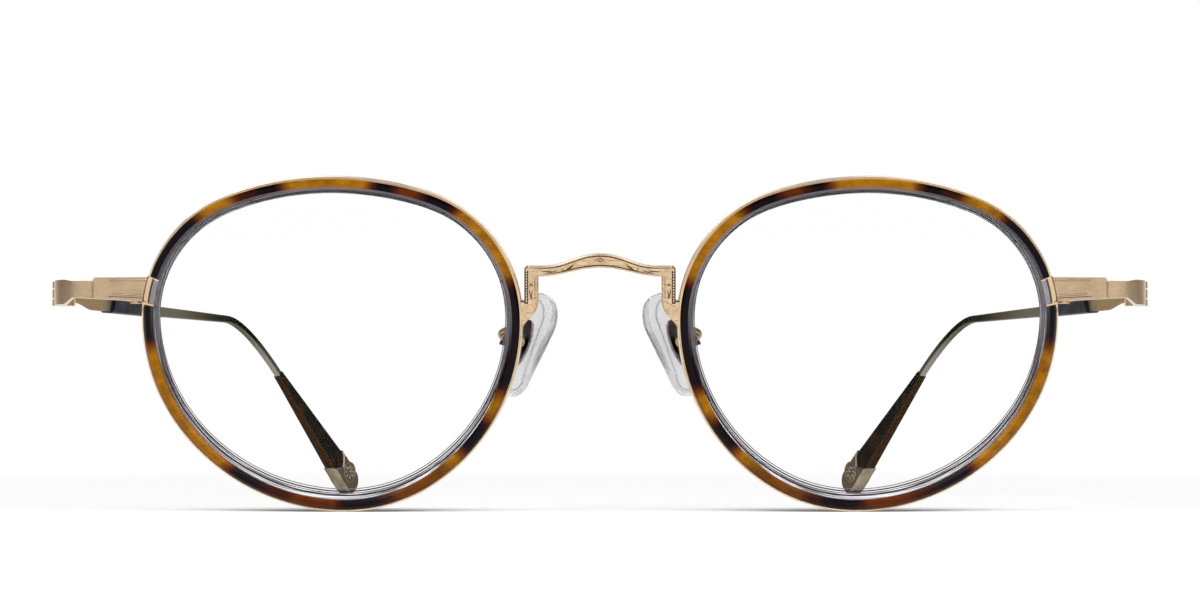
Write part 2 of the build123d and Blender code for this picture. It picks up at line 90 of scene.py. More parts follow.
class Shader:
    # a material, or the world, whose nodes are added one call at a time
    def __init__(self, owner):
        owner.use_nodes = True
        self.tree = owner.node_tree
        self.tree.nodes.clear()

    def node(self, kind, settings=None, inputs=None, output=0):
        made = self.tree.nodes.new("ShaderNode" + kind)
        for name, value in (settings or {}).items():
            if name == "stops":
                self.setStops(made.color_ramp, value)
            else:
                setattr(made, name, value)
        for name, value in (inputs or {}).items():
            if isinstance(value, Value):
                self.tree.links.new(value.socket, made.inputs[name])
            else:
                made.inputs[name].default_value = value
        if made.outputs:
            return Value(self, made.outputs[output])

    def setStops(self, ramp, stops):
        while len(ramp.elements) > 1:
            ramp.elements.remove(ramp.elements[-1])
        for index, (position, colour) in enumerate(stops):
            stop = ramp.elements[0] if index == 0 else ramp.elements.new(position)
            stop.position = position
            stop.color = (*colour, 1)

    def beside(self, value, output):
        # another output of the node that a value comes from
        return Value(self, value.socket.node.outputs[output])

    def maths(self, operation, first, second=0.0):
        return self.node("Math", {"operation": operation}, {0: first, 1: second})

    def place(self):
        # the point on the object, in millimetres
        spot = self.node("TexCoord", output="Object")
        return self.node("VectorMath", {"operation": "SCALE"}, {0: spot, "Scale": 1 / mm})

    def facing(self, direction):
        # 1 where the surface looks along a direction, -1 where it looks the other way
        normal = self.node("TexCoord", output="Normal")
        return self.node("VectorMath", {"operation": "DOT_PRODUCT"}, {0: normal, 1: direction}, "Value")

    def parts(self, vector):
        split = self.node("SeparateXYZ", None, {0: vector})
        return [self.beside(split, index) for index in range(3)]

    def grey(self, level):
        return self.node("CombineXYZ", None, {0: level, 1: level, 2: level})

    def noise(self, vector, scale, detail=3.0, roughness=0.5):
        settings = {"noise_dimensions": "3D"}
        inputs = {"Vector": vector, "Scale": scale, "Detail": detail, "Roughness": roughness}
        return self.node("TexNoise", settings, inputs)

    def streaks(self, vector, amounts, detail=3.0, roughness=0.5):
        # noise drawn out by its own amount along each axis
        stretched = self.node("VectorMath", {"operation": "MULTIPLY"}, {0: vector, 1: amounts})
        return self.noise(stretched, 1.0, detail, roughness)

    def rescale(self, value, low, high, start=0.0, end=1.0):
        return self.node("MapRange", {"clamp": True}, {0: value, 1: low, 2: high, 3: start, 4: end})

    def blend(self, factor, first, second, mode="MIX"):
        # mixes two colours
        first, second = (one if isinstance(one, Value) else (*one, 1) for one in (first, second))
        return self.node("Mix", {"data_type": "RGBA", "blend_type": mode}, {0: factor, 6: first, 7: second}, 2)

    def bump(self, height, distance, strength):
        return self.node("Bump", None, {"Height": height, "Distance": distance * mm, "Strength": strength})

    def surface(self, inputs):
        return self.node("BsdfPrincipled", None, inputs)

    def mixSurfaces(self, factor, first, second):
        return self.node("MixShader", None, {0: factor, 1: first, 2: second})

    def finish(self, surface):
        self.node("OutputMaterial", None, {"Surface": surface})


def newMaterial(name):
    material = bpy.data.materials.new(name)
    return material, Shader(material)


# metals

capEdge = (0.42, 0.37, 0.30, 1)
metals = {
    # light and dark tone, roughness, and how fine the brushing is along each axis
    "gold": {"colour": (0.86, 0.645, 0.42), "shade": (0.68, 0.485, 0.30), "rough": 0.24, "brush": (0.5, 6, 6)},
    "bronze": {
        "colour": (0.20, 0.15, 0.12),
        "shade": (0.055, 0.036, 0.028),
        "rough": 0.30,
        "brush": (1.2, 1.2, 0.6),
    },
    "armGold": {
        "colour": (0.62, 0.44, 0.25),
        "shade": (0.22, 0.14, 0.075),
        "rough": 0.22,
        "brush": (1.5, 1.5, 1.5),
    },
    # paler, smoother gold for beads, rim lips and the bridge edge: polished, and partly a painted highlight
    "beadGold": {"colour": (0.96, 0.82, 0.62), "shade": (0.84, 0.66, 0.46), "rough": 0.15, "brush": (4, 4, 4)},
    # painted shade: a dark band laid under the milgrain beads
    "channel": {"colour": (0.28, 0.185, 0.10), "shade": (0.16, 0.10, 0.055), "rough": 0.40, "brush": (4, 4, 4)},
    # dark cut lines, and the painted shadow lines beside each rib and under the leg beads
    "engraved": {
        "colour": (0.17, 0.10, 0.052),
        "shade": (0.075, 0.042, 0.022),
        "rough": 0.45,
        "brush": (4, 4, 4),
    },
    "bevelGrey": {
        "colour": (0.44, 0.42, 0.44),
        "shade": (0.24, 0.225, 0.24),
        "rough": 0.25,
        "brush": (4, 4, 4),
    },
    "wheelGrey": {"colour": (0.30, 0.28, 0.31), "shade": (0.20, 0.185, 0.21), "rough": 0.5, "brush": (4, 4, 4)},
    "wheelDark": {
        "colour": (0.10, 0.075, 0.085),
        "shade": (0.05, 0.036, 0.042),
        "brow": (0.62, 0.60, 0.64),  # painted light: the lines are paler in the upper half of the lens
        "rough": 0.5,
        "brush": (4, 4, 4),
    },
    "capMetal": {
        "colour": (0.50, 0.41, 0.31),
        "shade": (0.20, 0.155, 0.11),
        "flank": (0.15, 0.12, 0.085),  # painted shade: darker on the faces that look sideways along X
        "edge": capEdge,
        "rough": 0.32,
        "brush": (5, 0.5, 5),
    },
    "petalMetal": {
        "colour": (0.50, 0.41, 0.31),
        "shade": (0.26, 0.21, 0.15),
        "edge": capEdge,
        "rough": 0.28,
        "brush": (3, 3, 3),
    },
    "medal": {
        "colour": (0.20, 0.165, 0.12),
        "shade": (0.075, 0.06, 0.042),
        "edge": capEdge,
        "rough": 0.40,
        "brush": (3, 3, 3),
    },
}
satin = {
    "clouds": 0.35,
    "specks": 9.0,
    "tone": (0.45, 0.95),
    "flank": (0.50, 0.85),
    "brow": (-4.0, 10.0),  # millimetres above the lens centre
    "brushInTone": 0.35,
    "brushInRoughness": 0.16,
    "specksInRoughness": 0.05,
    "specksInRelief": 0.4,
    "relief": 0.010,
    "reliefStrength": 0.25,
}


def makeMetal(name):
    # satin metal with fine brushing along one direction and faint clouds of tone
    look = metals[name]
    material, shader = newMaterial(name)
    spot = shader.place()
    brushing = shader.streaks(spot, look["brush"], 4.0, 0.65)
    clouds = shader.noise(spot, satin["clouds"], 3.0, 0.55)
    specks = shader.noise(spot, satin["specks"], 2.0)
    tone = shader.rescale(clouds + brushing * satin["brushInTone"], *satin["tone"])
    roughness = look["rough"] + (brushing - 0.5) * satin["brushInRoughness"]
    relief = brushing + specks * satin["specksInRelief"]
    colour = shader.blend(tone, look["shade"], look["colour"])
    # painted shade: faces that look sideways along X are darkened toward the flank colour
    if "flank" in look:
        across = shader.maths("ABSOLUTE", shader.facing((1, 0, 0)))
        colour = shader.blend(shader.rescale(across, *satin["flank"]), colour, look["flank"])
    # painted light: paler above the lens centre
    if "brow" in look:
        above = shader.parts(spot)[2] - lensCentre.z
        colour = shader.blend(shader.rescale(above, *satin["brow"]), colour, look["brow"])
    inputs = {
        "Base Color": colour,
        "Metallic": 1.0,
        "Roughness": roughness + (specks - 0.5) * satin["specksInRoughness"],
        "Normal": shader.bump(relief, satin["relief"], satin["reliefStrength"]),
    }
    if "edge" in look:
        inputs["Specular Tint"] = look["edge"]
    shader.finish(shader.surface(inputs))
    return material


chasing = {
    "colour": (0.86, 0.645, 0.42),
    "shade": (0.60, 0.425, 0.26),
    "cut": (0.34, 0.215, 0.12),
    "roughness": 0.25,
    "strokes": {"Scale": 0.75, "Distortion": 5.0, "Detail": 1.0, "Detail Scale": 0.6},
    "strokeRange": (0.86, 0.97),
    "patchRange": (0.48, 0.60),  # the strokes come in patches
    "toneRange": (0.46, 0.84),
    "relief": 0.02,
}


def makeChasedGold():
    # gold worked with short curved graver strokes, with dirt left in the cuts
    look = chasing
    material, shader = newMaterial("chasedGold")
    spot = shader.place()
    wander = shader.noise(spot, 0.8, 2.0)
    grains = shader.noise(spot, 2.4)
    settings = {"wave_type": "RINGS", "rings_direction": "SPHERICAL", "wave_profile": "SIN"}
    strokes = shader.node("TexWave", settings, {"Vector": spot, **look["strokes"]}, "Fac")
    cuts = shader.rescale(strokes, *look["strokeRange"]) * shader.rescale(wander, *look["patchRange"])
    tone = shader.rescale(grains * 0.5 + wander * 0.8, *look["toneRange"])
    ground = shader.blend(tone, look["shade"], look["colour"])
    shader.finish(
        shader.surface(
            {
                "Base Color": shader.blend(cuts * 0.55, ground, look["cut"]),
                "Metallic": 1.0,
                "Roughness": look["roughness"] + cuts * 0.15 + (grains - 0.5) * 0.10,
                "Normal": shader.bump(grains * 0.4 - cuts, look["relief"], 0.4),
            }
        )
    )
    return material


templeLook = {
    "gold": (0.66, 0.48, 0.29),
    "goldShade": (0.46, 0.32, 0.18),
    "olive": (0.27, 0.26, 0.225),
    "dark": (0.024, 0.026, 0.019),
    # painted light: paler on the faces turned down and toward the front
    "underside": (0.33, 0.30, 0.255),
    "edge": (0.34, 0.33, 0.28, 1),
    # where each tone starts and ends, in millimetres behind the hinge
    "aged": (20.0, 24.0),
    "darkening": (58.0, 84.0),
    "paling": (98.0, 106.0),
    "wander": 6.0,
    "below": (0, -0.35, -0.94),
    "belowRange": (0.15, 0.55),
    "brush": (7.0, 0.4, 7.0),
    "relief": 0.012,
}


def makeTempleMetal():
    # gold at the hinge, then an aged olive wire that darkens toward the ear
    look = templeLook
    material, shader = newMaterial("templeMetal")
    spot = shader.place()
    behind = shader.parts(spot)[1] - hinge.y / mm
    worn = behind + shader.noise(spot, 0.5, 3.0, 0.55) * look["wander"]
    aged = shader.rescale(worn, *look["aged"])
    darkness = shader.rescale(worn, *look["darkening"]) * shader.rescale(behind, *look["paling"], 1.0, 0.25)
    brushing = shader.streaks(spot, look["brush"], 4.0, 0.65)
    bright = shader.blend(shader.rescale(brushing, 0.3, 0.7), look["goldShade"], look["gold"])
    # painted light: faces turned down are paled, less where the wire is darkened
    below = shader.rescale(shader.facing(look["below"]), *look["belowRange"]) * (1 - darkness * 0.40)
    wire = shader.blend(below, shader.blend(darkness, look["olive"], look["dark"]), look["underside"])
    shader.finish(
        shader.surface(
            {
                "Base Color": shader.blend(aged, bright, wire),
                "Metallic": 1.0,
                "Specular Tint": look["edge"],
                "Roughness": 0.26 + brushing * 0.12,
                "Normal": shader.bump(brushing, look["relief"], 0.3),
            }
        )
    )
    return material


# tortoise acetate: the colour runs round each ring in soft patches, alike on both sides

acetate = {
    # from the darkest to the clearest tone, with where each lies between 0 and 1
    "tones": (
        (0.0, (0.0065, 0.0022, 0.0045)),
        (0.22, (0.060, 0.010, 0.003)),
        (0.42, (0.150, 0.028, 0.003)),
        (0.66, (0.230, 0.078, 0.003)),
        (1.0, (0.440, 0.170, 0.004)),
    ),
    "levels": {"dark": 0.0, "ember": 0.22, "red": 0.42, "brown": 0.58, "amber": 1.0},
    "softness": 2.5,  # degrees on each side of a change of colour
    "join": 160,  # degrees where the ramp of the brow hands over to the one of the cheek
    # where each patch starts, in degrees from the nose over the brow and back
    "patches": (
        (0, "dark"), (19, "amber"), (46, "dark"), (59, "red"), (67, "dark"), (76, "amber"),
        (107, "dark"), (117, "ember"), (124, "amber"), (137, "dark"), (181, "amber"),
        (229, "dark"), (244, "ember"), (254, "red"), (272, "dark"), (288, "ember"),
        (293, "brown"), (313, "amber"), (321, "dark"), (334, "amber"), (344, "dark"),
    ),
    "streaks": (0.55, 0.3, 0.75),
    "streakLight": (0.62, 1.22),
    "wall": (0.46, 0.44, 0.49),  # painted light on the polished inner side, in its upper half
    "wallFacing": (0.55, 0.85),
    "wallRise": (-2.0, 6.0),
    "relief": 0.02,
}


def patchStops(first, last):
    softness = acetate["softness"] / 360
    stops = []
    level = acetate["levels"]["dark"]
    for start, name in acetate["patches"]:
        earlier = level
        level = acetate["levels"][name]
        if first < start < last:
            stops.append((start / 360 - softness, (earlier, earlier, earlier)))
            stops.append((start / 360 + softness, (level, level, level)))
    return stops


def makeTortoiseRing():
    look = acetate
    material, shader = newMaterial("tortoiseRing")
    spot = shader.place()
    across, _, height = shader.parts(spot)
    noseward = lensCentre.x - shader.maths("ABSOLUTE", across)
    upward = height - lensCentre.z
    turn = shader.maths("ARCTAN2", upward, noseward) / (2 * pi)
    wander = shader.streaks(spot, (0.16, 0.16, 0.16), 3.0, 0.6)
    turn = shader.maths("FRACT", turn + 1.0 + (wander - 0.5) * 0.012)
    brow = shader.node("ValToRGB", {"stops": patchStops(0, look["join"])}, {0: turn})
    cheek = shader.node("ValToRGB", {"stops": patchStops(look["join"], 360)}, {0: turn})
    clearness = shader.blend(turn > look["join"] / 360, brow, cheek)
    colour = shader.node("ValToRGB", {"stops": look["tones"]}, {0: clearness})
    streaks = shader.rescale(shader.streaks(spot, look["streaks"]), 0.30, 0.70, *look["streakLight"])
    colour = shader.blend(1.0, colour, shader.grey(streaks), "MULTIPLY")
    sideways = shader.facing((1, 0, 0)) * shader.maths("SIGN", across)
    inward = sideways * noseward - shader.facing((0, 0, 1)) * upward
    reach = (noseward * noseward + upward * upward) ** 0.5
    # painted light: paled where the inner side faces the lens centre, in the upper half
    wall = shader.rescale(inward / reach, *look["wallFacing"]) * shader.rescale(upward, *look["wallRise"])
    polish = shader.noise(spot, 2.5)
    shader.finish(
        shader.surface(
            {
                "Base Color": shader.blend(wall * 0.85, colour, look["wall"]),
                "Roughness": 0.16 + polish * 0.12,
                "IOR": 1.49,
                "Specular IOR Level": 0.11,
                "Normal": shader.bump(polish, look["relief"], 0.15),
            }
        )
    )
    return material


darkAcetates = {
    "sleeveAcetate": {
        "dark": (0.012, 0.008, 0.017),
        "light": (0.058, 0.045, 0.074),
        "scale": (0.5, 0.22, 0.5),
        "drifts": (0.58, 0.86),
        "gloss": 0.02,
    },
    "tipAcetate": {
        "dark": (0.012, 0.012, 0.008),
        "light": (0.060, 0.026, 0.009),
        "edge": (0.075, 0.034, 0.012),  # browner on the faces turned down and to the front
        "scale": (0.32, 0.25, 0.25),
        "drifts": (0.66, 0.94),
        "gloss": 0.0,
    },
}
thinEdge = {"direction": (0, -0.68, -0.73), "range": (0.55, 0.80)}


def makeDarkAcetate(name):
    # cloudy dark acetate with paler drifts
    look = darkAcetates[name]
    material, shader = newMaterial(name)
    spot = shader.place()
    drifts = shader.streaks(spot, look["scale"], 3.0, 0.55)
    fine = shader.streaks(spot, tuple(3 * one for one in look["scale"]), 3.0, 0.6)
    tone = shader.rescale(drifts + fine * 0.3, *look["drifts"])
    colour = shader.blend(tone, look["dark"], look["light"])
    if "edge" in look:
        thin = shader.rescale(shader.facing(thinEdge["direction"]), *thinEdge["range"])
        colour = shader.blend(thin, colour, look["edge"])
    polish = shader.noise(spot, 3.0)
    shader.finish(
        shader.surface(
            {
                "Base Color": colour,
                "Roughness": 0.22 + polish * 0.14,
                "IOR": 1.30,
                "Specular IOR Level": look["gloss"],
                "Normal": shader.bump(polish, 0.01, 0.04),
            }
        )
    )
    return material


# clear parts


def clearToShadows(shader, seen, tint, amount):
    # lets most of the light through to what lies behind
    shadowRay = shader.node("LightPath", output="Is Shadow Ray")
    through = shader.node("BsdfTransparent", None, {0: (*tint, 1)})
    return shader.mixSurfaces(shadowRay * amount, seen, through)


lensLook = {
    "tint": (0.997, 0.998, 0.998),
    "ior": 1.50,
    "gloss": 0.10,  # coated against reflections
    "groundBelow": 0.90,  # the bevel is where the surface turns this far from the front
    "wheelAcross": 2.6,
    "wheelDeep": 1.6,
    "wheelRange": (0.42, 0.58),
    "edge": (0.075, 0.065, 0.07),
    "light": (0.62, 0.61, 0.64),
    "brow": (0.36, 0.35, 0.38),  # painted light: a glow in the upper edge
    "browRange": (0.0, 0.45),
}


def makeLens():
    # clear glass whose ground bevel is frosted, with the wheel's lines round it
    look = lensLook
    material, shader = newMaterial("lensGlass")
    ground = shader.maths("ABSOLUTE", shader.facing((0, -1, 0))) < look["groundBelow"]
    upper = shader.rescale(shader.facing((0, 0, 1)), *look["browRange"])
    across, depth, height = shader.parts(shader.place())
    sideways = (shader.maths("ABSOLUTE", across) - lensCentre.x) / lensHalf.x
    upward = (height - lensCentre.z) / lensHalf.z
    reach = (sideways * sideways + upward * upward) ** 0.5 * lensHalf.x
    turned = shader.node("CombineXYZ", None, {0: reach * look["wheelAcross"], 1: depth * look["wheelDeep"]})
    lines = shader.rescale(shader.noise(turned, 1.0, 3.0, 0.7), *look["wheelRange"])
    glass = shader.surface(
        {
            "Base Color": (*look["tint"], 1),
            "Roughness": 0.0,
            "IOR": look["ior"],
            "Specular IOR Level": look["gloss"],
            "Specular Tint": (look["gloss"], look["gloss"], look["gloss"], 1),
            "Transmission Weight": 1.0,
        }
    )
    frosted = shader.surface(
        {
            "Base Color": shader.blend(lines, look["edge"], look["light"]),
            # painted light: the frosted bevel glows where it faces up
            "Emission Color": shader.blend(upper * (0.3 + lines * 0.7), (0, 0, 0), look["brow"]),
            "Emission Strength": 1.0,
            "Roughness": 0.30,
            "IOR": look["ior"],
            "Transmission Weight": 0.22,
        }
    )
    shader.finish(clearToShadows(shader, shader.mixSurfaces(ground, glass, frosted), look["tint"], 1.0))
    return material


padLook = {
    "ior": 1.15,
    "tint": (0.95, 0.95, 0.955),
    "clear": (0.98, 0.98, 0.985),
    "milk": (0.60, 0.595, 0.62),
    "milkiness": 0.22,
    "rimShade": (0.86, 0.86, 0.88),
    "rimLight": (0.95, 0.95, 0.96),
}


def makePadRim():
    look = padLook
    material, shader = newMaterial("padRim")
    cloud = shader.noise(shader.place(), 1.5)
    shader.finish(
        shader.surface(
            {
                "Base Color": shader.blend(cloud, look["rimShade"], look["rimLight"]),
                "Roughness": 0.18 + cloud * 0.1,
                "IOR": 1.4,
                "Transmission Weight": 0.35,
            }
        )
    )
    return material


def makeClearPad():
    look = padLook
    material, shader = newMaterial("clearPad")
    spot = shader.place()
    cloud = shader.noise(spot, 0.4)
    skin = shader.noise(spot, 1.4, 3.0, 0.55)
    gel = shader.surface(
        {
            "Base Color": shader.blend(cloud, look["tint"], look["clear"]),
            "Roughness": 0.08 + skin * 0.10,
            "IOR": look["ior"],
            "Transmission Weight": 1.0,
            "Normal": shader.bump(skin, 0.015, 0.10),
        }
    )
    milk = shader.surface({"Base Color": (*look["milk"], 1), "Roughness": 0.35, "Subsurface Weight": 0.2})
    seen = shader.mixSurfaces(look["milkiness"] + cloud * 0.08, gel, milk)
    shader.finish(clearToShadows(shader, seen, look["tint"], 0.8))
    return material


metal = {name: makeMetal(name) for name in metals}
padRim = makePadRim()
finishes = {
    "lens": makeLens(),
    "acetate_rim": makeTortoiseRing(),
    "temple": makeTempleMetal(),
    "temple_sleeve": makeDarkAcetate("sleeveAcetate"),
    "temple_tip": makeDarkAcetate("tipAcetate"),
    "tip_cap": metal["capMetal"],
    "bridge": makeChasedGold(),
    "pad_arm": metal["armGold"],
    "pad_core": metal["bronze"],
    "pad_box": metal["bronze"],
    "nose_pad": makeClearPad(),
}
for node, cadObject in frame["nodes"].items():
    kind = node.rsplit("_", 1)[0] if node.endswith(tuple(sides)) else node
    finish = finishes.get(kind, metal["gold"])
    if not cadObject.data.materials:
        cadObject.data.materials.append(finish)
    for slot in cadObject.material_slots:
        slot.material = finish
print("materials given to", len(frame["nodes"]), "nodes")


# surfaces to lay beads and lines on


def between(start, end, count):
    return [start + (end - start) * index / (count - 1) for index in range(count)]


def centreOf(node):
    low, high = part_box(node)
    return (low + high) / 2


def surfaceOf(node):
    mesh = bmesh.new()
    mesh.from_mesh(frame["nodes"][node].data)
    tree = BVHTree.FromBMesh(mesh)
    mesh.free()
    return tree


def frontOf(tree, x, z):
    # the first point of a surface met from the front, and its normal
    return tree.ray_cast(Vector((x, -1, z)), Vector((0, 1, 0)))[:2]


def laidOn(tree, points):
    # points (x, z) in millimetres dropped on a surface from the front
    met = [frontOf(tree, x * mm, z * mm) for x, z in points]
    return [(spot, normal) for spot, normal in met if spot is not None]


# lens and rim are the distances from which the search for their edge comes in
edgeSearch = {"step": 0.1 * mm, "halvings": 9, "lens": 25 * mm, "rim": 27 * mm}


def edgeBetween(isOn, inside, outside):
    # closes in on the place where a surface ends
    for halving in range(edgeSearch["halvings"]):
        middle = (inside + outside) / 2
        if isOn(middle):
            inside = middle
        else:
            outside = middle
    return inside


def spanOf(tree, x, top, bottom):
    # the highest stretch of a surface that is met from the front at x, all in metres
    def isOn(height):
        return frontOf(tree, x, height)[0] is not None

    step = edgeSearch["step"]
    height = top
    while height > bottom and not isOn(height):
        height -= step
    upper = edgeBetween(isOn, height, height + step)
    while height > bottom and isOn(height):
        height -= step
    return upper, edgeBetween(isOn, height + step, height)


def hoopEdge(tree, centre, angle, reach):
    # how far a hoop or disc goes in one direction from the lens centre, looked for from reach inward
    toward = Vector((cos(angle), 0, sin(angle)))

    def isOn(distance):
        return frontOf(tree, centre.x + toward.x * distance, centre.z + toward.z * distance)[0] is not None

    while reach > 0 and not isOn(reach):
        reach -= edgeSearch["step"]
    return edgeBetween(isOn, reach, reach + edgeSearch["step"]), toward


def hoopRound(side, hoop, steps):
    # the outer edge of the lens or the rim of one side, all the way round
    tree = surfaceOf(hoop + "_" + side)
    centre = centreOf("lens_" + side)
    angles = between(0.0, 2 * pi, steps + 1)[:-1]
    return tree, centre, [hoopEdge(tree, centre, angle, edgeSearch[hoop]) for angle in angles]


def pieceFrom(mesh, name, material, body):
    data = bpy.data.meshes.new(name)
    mesh.to_mesh(data)
    mesh.free()
    for face in data.polygons:
        face.use_smooth = True
    data.materials.append(material)
    piece = bpy.data.objects.new(name, data)
    bpy.context.scene.collection.objects.link(piece)
    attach(piece, body)


# a pointed strip starts at tipWidth, as a share of its width, and widens by taper over its length
stripShape = {"sides": 8, "tipWidth": 0.15, "taper": 4}
beadShape = {"subdivisions": 2, "raised": 0.25}


def makeStrip(name, path, band, material, body="front", closed=False, pointed=False):
    # a low band along points that carry their normals, for engraved and raised lines
    width, height = band
    mesh = bmesh.new()
    rings = []
    last = len(path) - 1
    turns = between(0.0, 2 * pi, stripShape["sides"] + 1)[:-1]
    for index, (spot, normal) in enumerate(path):
        ahead = path[(index + 1) % len(path)] if closed else path[min(index + 1, last)]
        behind = path[index - 1] if closed or index else path[0]
        along = (ahead[0] - behind[0]).normalized()
        across = along.cross(normal).normalized()
        fromTip = min(index, last - index) / last
        swell = min(1.0, stripShape["tipWidth"] + stripShape["taper"] * fromTip) if pointed else 1.0
        ring = []
        for turn in turns:
            side = across * (cos(turn) * width * swell / 2)
            ring.append(mesh.verts.new(spot + (side + normal * (sin(turn) * height / 2)) * mm))
        rings.append(ring)
    pairs = list(zip(rings, rings[1:])) + ([(rings[-1], rings[0])] if closed else [])
    for one, other in pairs:
        for step in range(stripShape["sides"]):
            mesh.faces.new((one[step], one[step - 1], other[step - 1], other[step]))
    if not closed:
        mesh.faces.new(rings[0])
        mesh.faces.new(reversed(rings[-1]))
    pieceFrom(mesh, name, material, body)


def makeBeads(name, path, radius, material, body="front"):
    # a row of small half-sunk balls
    mesh = bmesh.new()
    for spot, normal in path:
        made = bmesh.ops.create_icosphere(mesh, subdivisions=beadShape["subdivisions"], radius=radius * mm)
        bmesh.ops.translate(mesh, verts=made["verts"], vec=spot + normal * (radius * beadShape["raised"] * mm))
    pieceFrom(mesh, name, material, body)


# the bridge: a bright lip in paler gold, partly a painted highlight, cut lines along both edges, leaf strokes
# and milgrain down its legs

bridgeWork = {
    "reach": 9.2,
    "samples": 93,
    "lipDrop": 0.52,
    "lipLine": (0.15, 0.05),  # lines and bands as (width, height)
    "edgeDrop": 0.31,
    "edgeBand": (0.22, 0.20),
    "inner": 7.55,
    "footRise": 0.26,
    "footLine": (0.18, 0.05),
    "stroke": (0.13, 0.05),
    # strokes as (x, drop below the top edge)
    "strokes": (
        ((-0.66, 1.14), (0.0, 0.72), (0.66, 1.14)),
        ((-0.30, 1.26), (0.0, 1.04), (0.30, 1.26)),
        ((3.10, 0.78), (4.50, 1.30), (4.95, 0.88)),
        ((3.30, 1.00), (4.45, 1.44)),
        ((6.10, 0.94), (7.50, 0.92)),
        ((5.30, 0.98), (6.90, 1.16)),
    ),
    # strokes on the legs as (x, z)
    "legStrokes": (
        ((8.50, 28.70), (8.78, 29.10), (9.06, 28.70)),
        ((8.60, 28.30), (8.74, 27.70), (8.66, 27.00)),
        ((8.98, 28.40), (8.92, 27.80), (8.80, 27.20)),
    ),
    "bead": 0.125,
    "beadPitch": 0.36,
    "beadAcross": 9.38,
    "beadTop": 30.75,
    "beadFoot": 26.55,
    # painted shade under the leg beads, as (width, height)
    "beadChannel": (0.46, 0.05),
    "legLineAcross": 8.28,
    "legLineTop": 30.2,
    "legLineFoot": 26.9,
    "legLine": (0.08, 0.04),
}


def strokePath(points):
    # fills in a cut stroke between its corners
    filled = []
    for (x0, z0), (x1, z1) in zip(points, points[1:]):
        for part in between(0.0, 1.0, 7)[:-1]:
            filled.append((x0 + (x1 - x0) * part, z0 + (z1 - z0) * part))
    return filled + [points[-1]]


def makeBarWork(tree, top, bottom):
    work = bridgeWork
    engraved = metal["engraved"]
    lip, edge, foot = [], [], []
    for x in between(-work["reach"], work["reach"], work["samples"]):
        upper, lower = spanOf(tree, x * mm, top, bottom)
        lip.append((x, upper / mm - work["lipDrop"]))
        edge.append((x, upper / mm - work["edgeDrop"]))
        if abs(x) < work["inner"]:
            foot.append((x, lower / mm + work["footRise"]))
    makeStrip("bridgeLipLine", laidOn(tree, lip), work["lipLine"], engraved, pointed=True)
    makeStrip("bridgeEdge", laidOn(tree, edge), work["edgeBand"], metal["beadGold"])
    makeStrip("bridgeFootLine", laidOn(tree, foot), work["footLine"], engraved, pointed=True)
    for index, stroke in enumerate(work["strokes"]):
        for sign, mark in ((1, "L"), (-1, "R")):
            if sign < 0 and stroke[0][0] < 0:
                continue  # the strokes on the crest are their own mirror image
            points = []
            for x, drop in strokePath(stroke):
                upper = spanOf(tree, x * sign * mm, top, bottom)[0]
                points.append((x * sign, upper / mm - drop))
            path = laidOn(tree, points)
            makeStrip(f"bridgeStroke{index}{mark}", path, work["stroke"], engraved, pointed=True)


def makeLegWork(tree, sign, mark):
    work = bridgeWork
    engraved = metal["engraved"]
    count = round((work["beadTop"] - work["beadFoot"]) / work["beadPitch"]) + 1
    column = [(work["beadAcross"] * sign, z) for z in between(work["beadTop"], work["beadFoot"], count)]
    path = laidOn(tree, column)
    # painted shade: a dark band under the beads
    makeStrip("legChannel" + mark, path, work["beadChannel"], engraved)
    makeBeads("legBeads" + mark, path[:-1], work["bead"], metal["beadGold"])
    line = [(work["legLineAcross"] * sign, z) for z in between(work["legLineTop"], work["legLineFoot"], 24)]
    makeStrip("legLine" + mark, laidOn(tree, line), work["legLine"], engraved, pointed=True)
    for index, stroke in enumerate(work["legStrokes"]):
        points = [(x * sign, z) for x, z in strokePath(stroke)]
        makeStrip(f"legStroke{index}{mark}", laidOn(tree, points), work["stroke"], engraved, pointed=True)


bridgeTree = surfaceOf("bridge")
bridgeLow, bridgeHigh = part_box("bridge")
makeBarWork(bridgeTree, bridgeHigh.z + mm, bridgeLow.z - mm)
makeLegWork(bridgeTree, 1, "L")
makeLegWork(bridgeTree, -1, "R")
print("bridge engraved")


# the panels of the end pieces: milgrain along both edges, a cut line and the seam

panelWork = {
    "from": 58.32,
    "to": 63.2,
    "topDrop": 0.36,
    "lowerFrom": 58.75,
    "lowerTo": 62.9,
    "footRise": 0.74,
    "bead": 0.10,
    "pitch": 0.26,
    "channel": (0.25, 0.03),
    "cutRise": 0.40,
    "cut": (0.10, 0.04),
    "seamAcross": 65.28,
    "seamTop": 29.55,
    "seamFoot": 27.15,
    "seam": (0.10, 0.03),
}


def makePanelWork(side, sign):
    work = panelWork
    mark = side[0].upper()
    tree = surfaceOf("end_piece_" + side)
    low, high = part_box("end_piece_" + side)
    upperRow, lowerRow, cut = [], [], []
    count = round((work["to"] - work["from"]) / work["pitch"]) + 1
    for x in between(work["from"], work["to"], count):
        upper, lower = spanOf(tree, x * sign * mm, high.z + mm, low.z - mm)
        upperRow.append((x * sign, upper / mm - work["topDrop"]))
        cut.append((x * sign, lower / mm + work["cutRise"]))
        if work["lowerFrom"] < x < work["lowerTo"]:
            lowerRow.append((x * sign, lower / mm + work["footRise"]))
    for name, row in (("Top", upperRow), ("Foot", lowerRow)):
        path = laidOn(tree, row)
        # painted shade: a dark band under each bead row
        makeStrip("panelChannel" + name + mark, path, work["channel"], metal["channel"])
        makeBeads("panelBeads" + name + mark, path, work["bead"], metal["beadGold"])
    makeStrip("panelCut" + mark, laidOn(tree, cut), work["cut"], metal["engraved"])
    seam = [(work["seamAcross"] * sign, z) for z in between(work["seamTop"], work["seamFoot"], 12)]
    makeStrip("panelSeam" + mark, laidOn(tree, seam), work["seam"], metal["engraved"])


